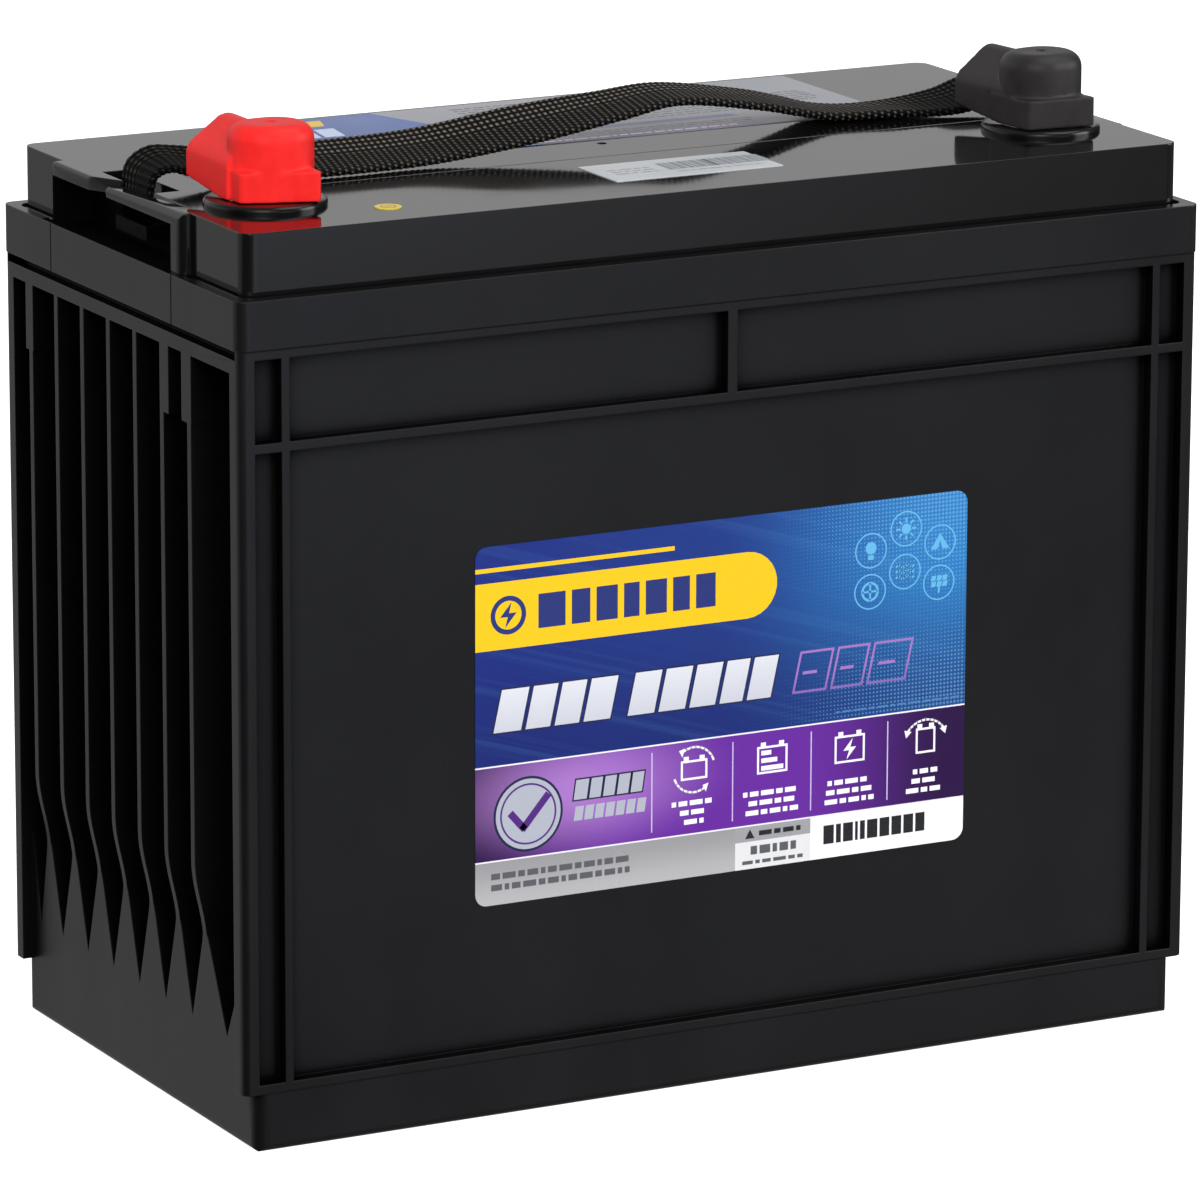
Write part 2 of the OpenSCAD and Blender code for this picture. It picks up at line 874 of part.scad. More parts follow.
module top_label() {
    color("#d9dce2") lid_label([-104, 6], [110, 79.5], 2);
}

module barcode_label() {
    color("white") lid_label([-26, -59.5], [33.5, -33], 0.6);
}

module date_dot() {
    color("#e2c51c")
        translate([-107.4, -63.2, lid_top]) cylinder(r = 4.25, h = label_t);
}

container();
lid();
vent_cover();
valve_cap(0);  // valve_cap_1
valve_cap(1);  // valve_cap_2
valve_cap(2);  // valve_cap_3
valve_cap(3);  // valve_cap_4
valve_cap(4);  // valve_cap_5
valve_cap(5);  // valve_cap_6
positive_plates();
negative_plates();
separators();
positive_plate_straps();
negative_plate_straps();
intercell_links();
terminal_post(-1);  // positive_terminal
terminal_post(1);  // negative_terminal
terminal_seals();
collar(-1);  // positive_collar
collar(1);  // negative_collar
flat_washer(-1);  // positive_flat_washer
flat_washer(1);  // negative_flat_washer
spring_washer(-1);  // positive_spring_washer
spring_washer(1);  // negative_spring_washer
bolt(-1);  // positive_bolt
bolt(1);  // negative_bolt
boot(-1, 0, positive_foot, positive_cap, "#e02c2c");  // positive_boot
boot(1, boot_turn, negative_foot, negative_cap, "#242122");  // negative_boot
strap_middle();  // handle_strap
strap_end(-1);  // left_strap_end
strap_end(1);  // right_strap_end
strap_stop(-1);  // left_strap_stop
strap_stop(1);  // right_strap_stop
front_label();
rear_label();
top_label();
barcode_label();
date_dot();
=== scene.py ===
import math

import bmesh
import bpy
from mathutils import Matrix, Vector


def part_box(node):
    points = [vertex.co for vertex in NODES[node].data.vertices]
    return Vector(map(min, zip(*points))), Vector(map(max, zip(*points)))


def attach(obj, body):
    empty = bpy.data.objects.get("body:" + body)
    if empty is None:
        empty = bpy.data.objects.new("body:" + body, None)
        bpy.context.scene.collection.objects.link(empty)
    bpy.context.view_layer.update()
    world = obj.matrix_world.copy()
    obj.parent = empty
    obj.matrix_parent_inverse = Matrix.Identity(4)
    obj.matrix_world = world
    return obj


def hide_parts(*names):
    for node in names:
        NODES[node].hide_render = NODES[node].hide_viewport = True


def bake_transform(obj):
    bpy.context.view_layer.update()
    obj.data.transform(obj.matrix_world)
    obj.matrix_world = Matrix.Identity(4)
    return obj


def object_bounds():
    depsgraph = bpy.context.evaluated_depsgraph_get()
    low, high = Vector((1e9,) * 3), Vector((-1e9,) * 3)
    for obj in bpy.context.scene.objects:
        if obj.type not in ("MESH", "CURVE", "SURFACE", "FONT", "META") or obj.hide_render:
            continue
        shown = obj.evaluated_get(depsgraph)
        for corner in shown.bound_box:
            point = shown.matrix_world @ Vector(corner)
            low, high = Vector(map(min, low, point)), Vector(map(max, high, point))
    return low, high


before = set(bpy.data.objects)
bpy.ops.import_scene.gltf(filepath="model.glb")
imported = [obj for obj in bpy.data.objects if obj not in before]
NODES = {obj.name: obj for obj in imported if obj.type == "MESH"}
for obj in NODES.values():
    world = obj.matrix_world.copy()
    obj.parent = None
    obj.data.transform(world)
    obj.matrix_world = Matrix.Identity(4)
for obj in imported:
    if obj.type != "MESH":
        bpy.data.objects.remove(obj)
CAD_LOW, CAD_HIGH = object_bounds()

MM = 0.001
LID_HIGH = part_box("lid")[1]
# The deep boxes that the strap's ends hang in: x from the middle, y, and the roof over them
BOX_X = (LID_HIGH.x - 18 * MM, LID_HIGH.x + 0.5 * MM)
BOX_Y = (-37.5 * MM, 59 * MM)
BOX_ROOF_Z = LID_HIGH.z - 4.3 * MM


# ---------------------------------------------------------------- shader kit

def linear(hex_colour):
    """A colour written as rrggbb, in the linear values that shaders use."""
    parts = [int(hex_colour[i:i + 2], 16) / 255 for i in (0, 2, 4)]
    low = [c / 12.92 for c in parts]
    high = [((c + 0.055) / 1.055) ** 2.4 for c in parts]
    return [a if c <= 0.04045 else b for c, a, b in zip(parts, low, high)] + [1.0]


class Shader:
    """A material being built: each method adds a node and returns its output."""

    def __init__(self, name, **settings):
        self.material = bpy.data.materials.new(name)
        self.material.use_nodes = True
        self.tree = self.material.node_tree
        self.surface = self.tree.nodes["Principled BSDF"]
        for label, value in settings.items():
            self.set(label.replace("_", " "), value)

    @classmethod
    def of_world(cls, world):
        """The same methods for the nodes of a world."""
        made = cls.__new__(cls)
        made.tree = world.node_tree
        return made

    def set(self, label, value):
        socket = self.surface.inputs[label.title().replace("Ior", "IOR")]
        self.feed(socket, value)

    def feed(self, socket, value):
        if isinstance(value, bpy.types.NodeSocket):
            self.tree.links.new(value, socket)
        elif isinstance(value, str):
            socket.default_value = linear(value)
        else:
            socket.default_value = value

    def node(self, kind, inputs=(), **settings):
        made = self.tree.nodes.new("ShaderNode" + kind)
        for key, value in settings.items():
            setattr(made, key, value)
        for key, value in dict(inputs).items():
            self.feed(made.inputs[key], value)
        return made

    def place(self):
        return self.node("TexCoord").outputs["Object"]

    def split(self, vector):
        return self.node("SeparateXYZ", {"Vector": vector}).outputs

    def join(self, x, y, z):
        return self.node("CombineXYZ", {"X": x, "Y": y, "Z": z}).outputs[0]

    def stretched(self, vector, scale):
        return self.node("Mapping", {"Vector": vector, "Scale": scale}).outputs[0]

    def calc(self, operation, a, b=0.0):
        return self.node("Math", {0: a, 1: b}, operation=operation).outputs[0]

    def span(self, value, low, high, start=0.0, end=1.0, smooth=False):
        """Start at low, end at high, and a ramp between them."""
        kind = "SMOOTHSTEP" if smooth else "LINEAR"
        ends = {"Value": value, "From Min": low, "From Max": high, "To Min": start, "To Max": end}
        return self.node("MapRange", ends, interpolation_type=kind, clamp=True).outputs[0]

    def mix(self, share, a, b):
        """Colour a where share is 0 and colour b where it's 1."""
        made = self.node("Mix", data_type="RGBA")
        self.feed(made.inputs[0], share)
        self.feed(made.inputs[6], a)
        self.feed(made.inputs[7], b)
        return made.outputs[2]

    def noise(self, vector, scale, detail=3.0, rough=0.5):
        inputs = {"Vector": vector, "Scale": scale, "Detail": detail, "Roughness": rough}
        return self.node("TexNoise", inputs).outputs[0]

    def wave(self, value, pitch):
        """Rows of even ridges: 0 at each multiple of the pitch and 1 half way between."""
        return self.calc("ABSOLUTE", self.calc("SINE", self.calc("MULTIPLY", value, math.pi / pitch)))

    def bump(self, height, distance, strength=1.0, edge=0.0):
        """Relief from a height. An edge radius also makes sharp edges catch the light."""
        inputs = {"Height": height, "Distance": distance, "Strength": strength}
        if edge:
            inputs["Normal"] = self.node("Bevel", {"Radius": edge}, samples=8).outputs[0]
        self.set("normal", self.node("Bump", inputs).outputs[0])
        return self


def inside(s, value, low, high):
    """1 where value lies between low and high, else 0."""
    return s.calc("MULTIPLY", s.calc("GREATER_THAN", value, low), s.calc("LESS_THAN", value, high))


# ---------------------------------------------------------------- materials

def case_plastic():
    """Moulded black polypropylene: satin, faintly cloudy, with a fine grain, and painted shade in its
    recesses.
    """
    s = Shader("case_plastic", ior=1.47)
    place = s.place()
    clouds = s.noise(place, 9.0, 4.0, 0.6)
    flow = s.noise(s.stretched(place, (40, 40, 4)), 1.0, 3.0)
    # Painted shade: ambient occlusion darkens the slots between the ribs, and other recesses, to near
    # black and takes away their shine
    cover = s.node("AmbientOcclusion", {"Distance": 30 * MM}, samples=6, only_local=True)
    painted_recess_shade = s.span(cover.outputs["AO"], 0.8, 0.45)
    s.set("base color", s.mix(painted_recess_shade, s.mix(s.span(clouds, 0.3, 0.7), "0b0b0c", "111112"), "020202"))
    s.set("specular IOR level", s.span(painted_recess_shade, 0, 1, 0.5, 0.05))
    streaks = s.span(flow, 0.35, 0.65, -0.03, 0.03)
    s.set("roughness", s.calc("ADD", s.span(clouds, 0.3, 0.7, 0.24, 0.36), streaks))
    grain = s.calc("ADD", s.noise(place, 1400.0, 2.0), s.calc("MULTIPLY", s.noise(place, 60.0), 4.0))
    return s.bump(grain, 0.00002, 0.5, 0.0006).material


def strap_box_shade(s, place):
    """Mask of painted shade: 1 on the walls of the two deep boxes that the strap ends hang in, else 0.
    """
    x, y, z = s.split(place)
    side = inside(s, s.calc("ABSOLUTE", x), BOX_X[0], BOX_X[1])
    depth = inside(s, y, BOX_Y[0], BOX_Y[1])
    return s.calc("MULTIPLY", s.calc("MULTIPLY", side, depth), s.calc("LESS_THAN", z, BOX_ROOF_Z))


def lid_plastic():
    """Polished black plastic that mirrors what stands on it, with painted shade inside the strap boxes.
    """
    s = Shader("lid_plastic", ior=1.5)
    place = s.place()
    haze = s.noise(place, 22.0, 5.0, 0.6)
    # Painted shade: inside the strap boxes the lid is darker, duller and shines less
    shade = strap_box_shade(s, place)
    s.set("base color", s.mix(shade, s.mix(s.span(haze, 0.3, 0.7), "09090a", "0d0d0e"), "050505"))
    dull = s.calc("MULTIPLY", shade, 0.6)
    s.set("roughness", s.calc("ADD", s.span(haze, 0.35, 0.7, 0.05, 0.11), dull))
    s.set("specular IOR level", s.span(shade, 0, 1, 0.5, 0.06))
    wave = s.calc("ADD", s.noise(place, 14.0, 1.0), s.calc("MULTIPLY", s.noise(place, 900.0), 0.02))
    return s.bump(wave, 0.00012, 0.5, 0.0008).material


def collar_plastic():
    """Black plastic ring with a softer shine than the lid."""
    s = Shader("collar_plastic", ior=1.45)
    cloud = s.noise(s.place(), 80.0, 3.0)
    s.set("base color", s.mix(s.span(cloud, 0.3, 0.7), "070707", "0c0c0c"))
    s.set("roughness", s.span(cloud, 0.3, 0.7, 0.14, 0.24))
    s.set("specular IOR level", 0.5)
    return s.bump(cloud, 0.00005, 0.4).material


def boot_rubber(name, low, high, shine):
    """Soft moulded vinyl with a faint mottle."""
    s = Shader(name, ior=1.48)
    place = s.place()
    mottle = s.noise(place, 160.0, 4.0, 0.6)
    s.set("base color", s.mix(s.span(mottle, 0.3, 0.7), low, high))
    s.set("roughness", s.span(mottle, 0.3, 0.7, 0.42, 0.52))
    s.set("specular IOR level", shine)
    s.set("subsurface weight", 0.05)
    s.set("subsurface radius", (0.004, 0.001, 0.001))
    grain = s.calc("ADD", s.noise(place, 2500.0, 2.0), s.calc("MULTIPLY", s.noise(place, 220.0), 2.0))
    return s.bump(grain, 0.00004, 0.5).material


def plain_rubber(name, low, high, shine=0.5):
    s = Shader(name, specular_IOR_level=shine)
    place = s.place()
    mottle = s.noise(place, 300.0, 4.0)
    s.set("base color", s.mix(mottle, low, high))
    s.set("roughness", s.span(mottle, 0.2, 0.8, 0.5, 0.7))
    return s.bump(mottle, 0.00003, 0.4).material


def metal(name, low, high, rough):
    """Bare metal with faint scratches and dull patches."""
    s = Shader(name, metallic=1.0)
    place = s.place()
    patches = s.noise(place, 90.0, 5.0)
    scratches = s.noise(s.stretched(place, (1, 8, 1)), 600.0, 2.0)
    s.set("base color", s.mix(s.span(patches, 0.3, 0.7), low, high))
    s.set("roughness", s.calc("ADD", s.span(patches, 0.3, 0.7, rough, rough + 0.15),
                              s.span(scratches, 0.4, 0.7, 0.0, 0.08)))
    return s.bump(scratches, 0.00002, 0.4).material


def plate_paste(name, low, high):
    """Dried active paste, rough and uneven."""
    s = Shader(name)
    place = s.place()
    lumps = s.noise(place, 500.0, 6.0, 0.7)
    s.set("base color", s.mix(s.span(lumps, 0.3, 0.7), low, high))
    s.set("roughness", 0.85)
    return s.bump(lumps, 0.0002, 0.7).material


def glass_mat():
    """Felted white glass fibre."""
    s = Shader("glass_mat", sheen_weight=0.4)
    place = s.place()
    fibres = s.noise(s.stretched(place, (1, 1, 0.2)), 1500.0, 5.0, 0.7)
    s.set("base color", s.mix(fibres, "c9c8c2", "f4f3ee"))
    s.set("roughness", 0.95)
    return s.bump(fibres, 0.0002, 0.8).material


def webbing():
    """Black polypropylene yarn with painted glints on top of each crossing. It reads the mesh's own
    places along and across the band, so the painted glints sit on the weave that the mesh has."""
    s = Shader("webbing_yarn", ior=1.45)
    place = s.place()
    fibre = s.noise(place, 2600.0, 3.0, 0.7)
    along, across = [s.node("Attribute", attribute_name=name).outputs["Fac"]
                     for name in ("along", "across")]
    rib = s.wave(along, RIB)
    front = s.calc("LESS_THAN", across, FRONT_EDGE)
    slanted = s.wave(s.calc("ADD", across, s.calc("MULTIPLY", along, SLANT)), FRONT_CROSS)
    near = s.calc("MULTIPLY", rib, s.span(slanted, 0, 1, 0.4, 0.74))
    far = s.calc("MULTIPLY", rib, s.wave(across, BACK_CROSS))
    height = s.calc("ADD", s.calc("MULTIPLY", front, near),
                    s.calc("MULTIPLY", s.calc("SUBTRACT", 1.0, front), far))
    # Painted highlight: light glints on the tops of the crossings, where the weave stands highest
    fleck_and_glint = s.calc("MULTIPLY", s.span(height, 0.5, 0.95), s.span(fibre, 0.35, 0.6, 0.3, 1.0))
    # Painted shade: the looped ends lose their painted glints and most of their shine, and inside their
    # boxes they are darker still
    x, _, z = s.split(place)
    left_end = s.span(x, -122 * MM, -140 * MM, smooth=True)
    right_end = s.span(x, 98 * MM, 120 * MM, smooth=True)
    in_box_shade = s.calc("LESS_THAN", z, BOX_ROOF_Z)
    plain = s.calc("ADD", s.calc("MAXIMUM", left_end, right_end), in_box_shade)
    fleck_and_glint = s.calc("MULTIPLY", fleck_and_glint, s.span(plain, 0, 2, 1.0, -0.6))
    s.set("base color", s.mix(fleck_and_glint, "040404", "81786e"))
    s.set("specular IOR level", s.span(plain, 0, 2, 0.14, 0.0))
    s.set("roughness", s.span(fibre, 0.3, 0.7, 0.45, 0.65))
    return s.bump(fibre, 0.00012, 0.8).material


def ink(name, colour, rough=0.28, colour_top=None, low=0.0, high=1.0):
    """Printed ink under laminate, even or shaded from low to high along Z."""
    s = Shader(name, ior=1.5)
    place = s.place()
    fleck_and_glint = s.noise(place, 3000.0, 2.0)
    tone = colour
    if colour_top:
        tone = s.mix(s.span(s.split(place)[2], low, high), colour, colour_top)
    s.set("base color", s.mix(s.span(fleck_and_glint, 0.2, 0.8, 0.0, 0.015), tone, "ffffff"))
    s.set("roughness", s.span(s.noise(place, 40.0), 0.3, 0.7, rough - 0.04, rough + 0.04))
    return s.material


# ---------------------------------------------------------------- mesh tools

def mesh_object(name, bm, materials, smooth=False):
    mesh = bpy.data.meshes.new(name)
    bm.to_mesh(mesh)
    bm.free()
    for material in materials:
        mesh.materials.append(material)
    for face in mesh.polygons:
        face.use_smooth = smooth
    obj = bpy.data.objects.new(name, mesh)
    bpy.context.scene.collection.objects.link(obj)
    return obj


def dress(material, *nodes):
    """Gives CAD nodes a material."""
    for name in nodes:
        slots = NODES[name].data.materials
        slots.clear()
        slots.append(material)


def soften(node, width):
    """Welds a CAD node's facets and rounds its sharp edges with modifiers."""
    obj = NODES[node]
    weld(obj)
    round_edges = obj.modifiers.new("round", "BEVEL")
    round_edges.width = width * MM
    round_edges.segments = 3
    round_edges.limit_method = "ANGLE"
    round_edges.angle_limit = math.radians(35)
    round_edges.miter_outer = "MITER_ARC"
    smooth(obj)
    obj.modifiers.new("shade", "WEIGHTED_NORMAL").keep_sharp = False


def weld(obj):
    obj.modifiers.new("weld", "WELD").merge_threshold = 2e-6


def smooth(obj):
    for face in obj.data.polygons:
        face.use_smooth = True


def mould(node):
    """Turns a CAD node's hard edges into the soft ones of moulded rubber with modifiers."""
    obj = NODES[node]
    weld(obj)
    grid = obj.modifiers.new("grid", "REMESH")
    grid.mode = "VOXEL"
    grid.voxel_size = 0.4 * MM
    grid.use_smooth_shade = True
    relax = obj.modifiers.new("relax", "SMOOTH")
    relax.factor = 0.5
    relax.iterations = 8


# ---------------------------------------------------------------- the strap

# Sizes of the strap in mm
STRAP_W = 20.5
STRAP_T = 2.8
# Pitch of the ribs that run across the band, and of the threads that cross them
RIB = 2.2
BACK_CROSS = 2.5
FRONT_CROSS = 1.5
# How far the front's crossing threads slant: mm across for each mm along
SLANT = 0.35
# The front part of the band, with its closer crossing threads, ends here
FRONT_EDGE = -1.0
# Height of the weave, and the share of it that is sunk into the band
WEAVE = 0.42
WEAVE_SUNK = 0.8
# Length of the mesh's steps along the band, how many go round it, and how many points the
# path gets between two of its own
STATION_STEP = 0.45
RING_STEPS = 108
KNOT_STEPS = 40
# Between the two slots the strap rests on the lid, and stays this far over it
LID_REACH = 150
LID_CLEARANCE = 0.15
# Along the strap: x, rise over the lid, degrees that the back edge is tipped up, and y
STRAP_PATH = [
    (-160.4, -11, 0, 5), (-160.4, -1, 0, 5), (-158.8, 4.6, 4, 5), (-152.8, 7.2, 10, 5),
    (-146, 6.4, 15, 3), (-138, 5.3, 19, 0), (-120, 4.8, 20, -3), (-95, 4.6, 19.5, -4),
    (-64, 5.2, 20.5, -2.5), (-30, 8.9, 23, -2), (2, 12, 14, 0), (25, 13.7, 7, 2),
    (54, 9.4, 6, 3.5), (70, 5.7, 5, 5), (82, 2.8, 2, 5.5), (92, 2.0, -1, 4), (103, 2.1, -1, 2),
    (114, 2.4, 4, 0), (126, 3.5, 10, -1), (136, 5.2, 14, 1), (145, 6.6, 12, 4),
    (152.8, 7.2, 7, 5), (158.8, 4.6, 3, 5), (160.4, -1, 0, 5), (160.4, -11, 0, 5),
]


def catmull(points, i, t):
    """A point on the smooth curve through the points, from point i at t = 0 to the next at 1."""
    a, b, c, d = [Vector(points[max(0, min(len(points) - 1, k))]) for k in range(i - 1, i + 3)]
    return (2 * b + (c - a) * t + (2 * a - 5 * b + 4 * c - d) * t * t
            + (3 * b - a - 3 * c + d) * t ** 3) / 2


def strap_stations():
    """Even steps along the strap's middle line: the way so far and the point on the path."""
    fine = []
    for i in range(len(STRAP_PATH) - 1):
        fine += [catmull(STRAP_PATH, i, k / KNOT_STEPS) for k in range(KNOT_STEPS)]
    fine.append(Vector(STRAP_PATH[-1]))
    lengths = [0.0]
    for a, b in zip(fine, fine[1:]):
        lengths.append(lengths[-1] + (b - a).to_2d().length)
    count = int(lengths[-1] / STATION_STEP)
    stations, k = [], 0
    for n in range(count + 1):
        at = lengths[-1] * n / count
        while k < len(lengths) - 2 and lengths[k + 1] < at:
            k += 1
        share = (at - lengths[k]) / (lengths[k + 1] - lengths[k])
        stations.append((at, fine[k].lerp(fine[k + 1], share)))
    return stations


def weave_height(along, across):
    """Height of the weave, 0 to 1."""
    rib = abs(math.sin(math.pi * along / RIB))
    if across < FRONT_EDGE:
        crossing = abs(math.sin(math.pi * (across + SLANT * along) / FRONT_CROSS))
        return 0.2 + 0.8 * rib * (0.6 + 0.4 * crossing)
    return math.sqrt(rib * abs(math.sin(math.pi * across / BACK_CROSS)))


def strap_ring():
    """Even steps round a flat band with round edges, from the middle of its underside over the
    front edge: each has its place across and up, its normal, and its signed way from the top."""
    flat = STRAP_W - STRAP_T
    arc_length = math.pi * STRAP_T / 2
    total = 2 * (flat + arc_length)
    ring = []
    for n in range(RING_STEPS):
        way = total * ((n + 0.5) / RING_STEPS - 0.5)
        side = math.copysign(1, way)
        over_edge = abs(way) - flat / 2
        if over_edge < 0:
            ring.append((way, STRAP_T / 2, 0.0, 1.0, way))
        elif over_edge < arc_length:
            turn = over_edge / (STRAP_T / 2)
            out, up = side * math.sin(turn), math.cos(turn)
            ring.append((side * flat / 2 + out * STRAP_T / 2, up * STRAP_T / 2, out, up, way))
        else:
            ring.append((side * (flat / 2 - over_edge + arc_length), -STRAP_T / 2, 0.0, -1.0, way))
    return ring


def strap_half(name, stations, lid_z, material):
    """One half of the strap as a closed braided band."""
    ring = strap_ring()
    bm = bmesh.new()
    along_layer = bm.verts.layers.float.new("along")
    across_layer = bm.verts.layers.float.new("across")
    rows = []
    for n, (at, point) in enumerate(stations):
        before = stations[max(0, n - 1)][1]
        after = stations[min(len(stations) - 1, n + 1)][1]
        along = (after - before).to_2d().normalized()
        tip = math.radians(point[2])
        up = Vector((-along[1], 0, along[0]))
        across = Vector((0, 1, 0)) * math.cos(tip) + up * math.sin(tip)
        lift = up * math.cos(tip) - Vector((0, 1, 0)) * math.sin(tip)
        middle = Vector((point[0], point[3], lid_z / MM + point[1]))
        row = []
        for side, high, n_side, n_high, way in ring:
            push = WEAVE * (weave_height(at, way) - WEAVE_SUNK)
            place = middle + across * (side + n_side * push) + lift * (high + n_high * push)
            if abs(place.x) < LID_REACH:
                place.z = max(place.z, lid_z / MM + LID_CLEARANCE)
            row.append(bm.verts.new(place * MM))
            row[-1][along_layer] = at
            row[-1][across_layer] = way
        rows.append(row)
    for a, b in zip(rows, rows[1:]):
        for k in range(len(ring)):
            m = (k + 1) % len(ring)
            bm.faces.new((a[k], a[m], b[m], b[k]))
    bm.faces.new(reversed(rows[0]))
    bm.faces.new(rows[-1])
    bmesh.ops.recalc_face_normals(bm, faces=bm.faces)
    return mesh_object(name, bm, [material], smooth=True)


def make_strap(lid_z):
    """The band in two halves, which stay in their slots at the ends."""
    yarn = webbing()
    stations = strap_stations()
    middle = min(range(len(stations)), key=lambda n: abs(stations[n][1][0]))
    left = strap_half("carry_strap_left", stations[:middle + 1], lid_z, yarn)
    right = strap_half("carry_strap_right", stations[middle:], lid_z, yarn)
    for obj, side, nodes in ((left, -1, ("handle_strap", "left_strap_end")),
                             (right, 1, ("right_strap_end",))):
        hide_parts(*nodes)
        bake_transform(obj)


# ---------------------------------------------------------------- printed labels

# Printed shapes start at this height on the face of the label and rise this much for each
# layer, in mm
PRINT_DEPTH = -0.02
PRINT_RISE = 0.025
# Tops of the front label's grey strip and of its purple band, in mm
STRIP_TOP = 14.2
BAND_TOP = 44.8
# Middles of the four pictograms on the front label
ICONS_X = (77.4, 105.6, 133.8, 161.7)


def over(s, value, edge, low, high):
    """Colour low below the edge and high above it."""
    return s.mix(s.calc("GREATER_THAN", value, edge), low, high)


def laminate(name):
    """A glossy printed film. Returns the shader with its place in mm."""
    s = Shader(name, ior=1.5)
    parts = s.split(s.place())
    waves = s.noise(s.place(), 30.0, 2.0)
    s.set("roughness", s.span(waves, 0.3, 0.7, 0.22, 0.30))
    s.bump(waves, 0.0004, 0.25)
    return s, [s.calc("MULTIPLY", part, 1 / MM) for part in parts]


def dots(s, a, b, pitch, size):
    """A grid of round dots of a given size, 1 inside a dot."""
    cells = [s.calc("FRACT", s.calc("MULTIPLY", v, 1 / pitch)) for v in (a, b)]
    offsets = [s.calc("SUBTRACT", cell, 0.5) for cell in cells]
    squares = [s.calc("MULTIPLY", v, v) for v in offsets]
    away = s.calc("SQRT", s.calc("ADD", *squares))
    return s.calc("LESS_THAN", away, size)


def front_film(low):
    """Blue field over a purple band over a grey and white strip."""
    s, (x, _, z) = laminate("film_front")
    a = s.calc("SUBTRACT", x, low.x / MM)
    b = s.calc("SUBTRACT", z, low.z / MM)
    right = s.mix(s.span(a, 80, 176, smooth=True), "18327c", "2878ba")
    blue = s.mix(s.span(a, 0, 80, smooth=True), "152878", right)
    blue = s.mix(s.span(b, 100, 45, 0, 0.75, smooth=True), blue, "0f1f66")
    slope = s.calc("ADD", s.calc("MULTIPLY", a, 0.05), s.calc("MULTIPLY", b, 0.16))
    streak = s.noise(s.join(slope, 0.0, 0.0), 1.0, 4.0, 0.7)
    blue = s.mix(s.span(streak, 0.5, 0.8, 0, 0.12), blue, "63a8e0")
    rise = s.calc("ABSOLUTE", s.calc("SUBTRACT", b, 78.0))
    corner = s.calc("MULTIPLY", s.span(a, 95, 176, smooth=True), s.span(rise, 4, 30, 0.25, 1.0))
    screen = dots(s, a, b, 1.3, s.span(corner, 0, 1, 0.1, 0.36))
    blue = s.mix(s.calc("MULTIPLY", screen, s.span(corner, 0, 0.3, 0, 0.3)), blue, "8cc4ee")
    glow_a = s.calc("MULTIPLY", s.calc("SUBTRACT", a, 36.0), 1 / 60)
    glow_b = s.calc("MULTIPLY", s.calc("SUBTRACT", b, 34.0), 1 / 26)
    squares = [s.calc("MULTIPLY", glow, glow) for glow in (glow_a, glow_b)]
    away = s.calc("SQRT", s.calc("ADD", *squares))
    ends = s.span(s.calc("ABSOLUTE", s.calc("SUBTRACT", a, 84.0)), 30, 86, smooth=True)
    purple = s.mix(ends, "622696", "26063f")
    purple = s.mix(s.span(away, 1.0, 0.0, 0, 0.75, smooth=True), purple, "b481cf")
    grey = s.mix(s.span(b, 0, 14, smooth=True), "aeaeb0", "949497")
    middle = over(s, b, 9.0, "dcdcde", "9a9a9e")
    strip = over(s, a, 119.7, over(s, a, 92.4, grey, middle), "f4f4f6")
    field = over(s, b, BAND_TOP, over(s, b, STRIP_TOP, strip, purple), blue)
    for line in (BAND_TOP, STRIP_TOP):
        field = s.mix(inside(s, b, line - 0.25, line + 0.25), field, "e8e4f2")
    s.set("base color", field)
    return s.material


def top_film():
    """Blue block at the left, pale text field laid in grey as painted shade, and two coloured bands
    along the front edge.
    """
    s, (x, y, _) = laminate("film_top")
    slant = s.calc("ADD", x, s.calc("MULTIPLY", y, 0.35))
    blue = s.mix(s.span(x, -104, -38), "20378c", "2f5aa6")
    # Painted shade: the pale text field is laid in mid grey, as the top of the battery gets little light
    pale = s.mix(s.span(y, 6, 79), "84858f", "96979f")
    for low_y, high_y, end, colour in ((22, 26.5, 70.0, "4c4f86"), (6, 12.5, 66.0, "6e5490")):
        band = s.calc("MULTIPLY", inside(s, y, low_y, high_y), s.calc("LESS_THAN", slant, end))
        pale = s.mix(band, pale, colour)
    pale = s.mix(s.calc("GREATER_THAN", slant, 92.0), pale, "8c9098")
    s.set("base color", over(s, slant, -16.0, blue, pale))
    return s.material


def plain_film(name, ground, head, level, axis):
    """A plain label with a coloured band beyond a level on one axis, in mm."""
    s, place = laminate(name)
    s.set("base color", over(s, place[axis], level, ground, head))
    return s.material


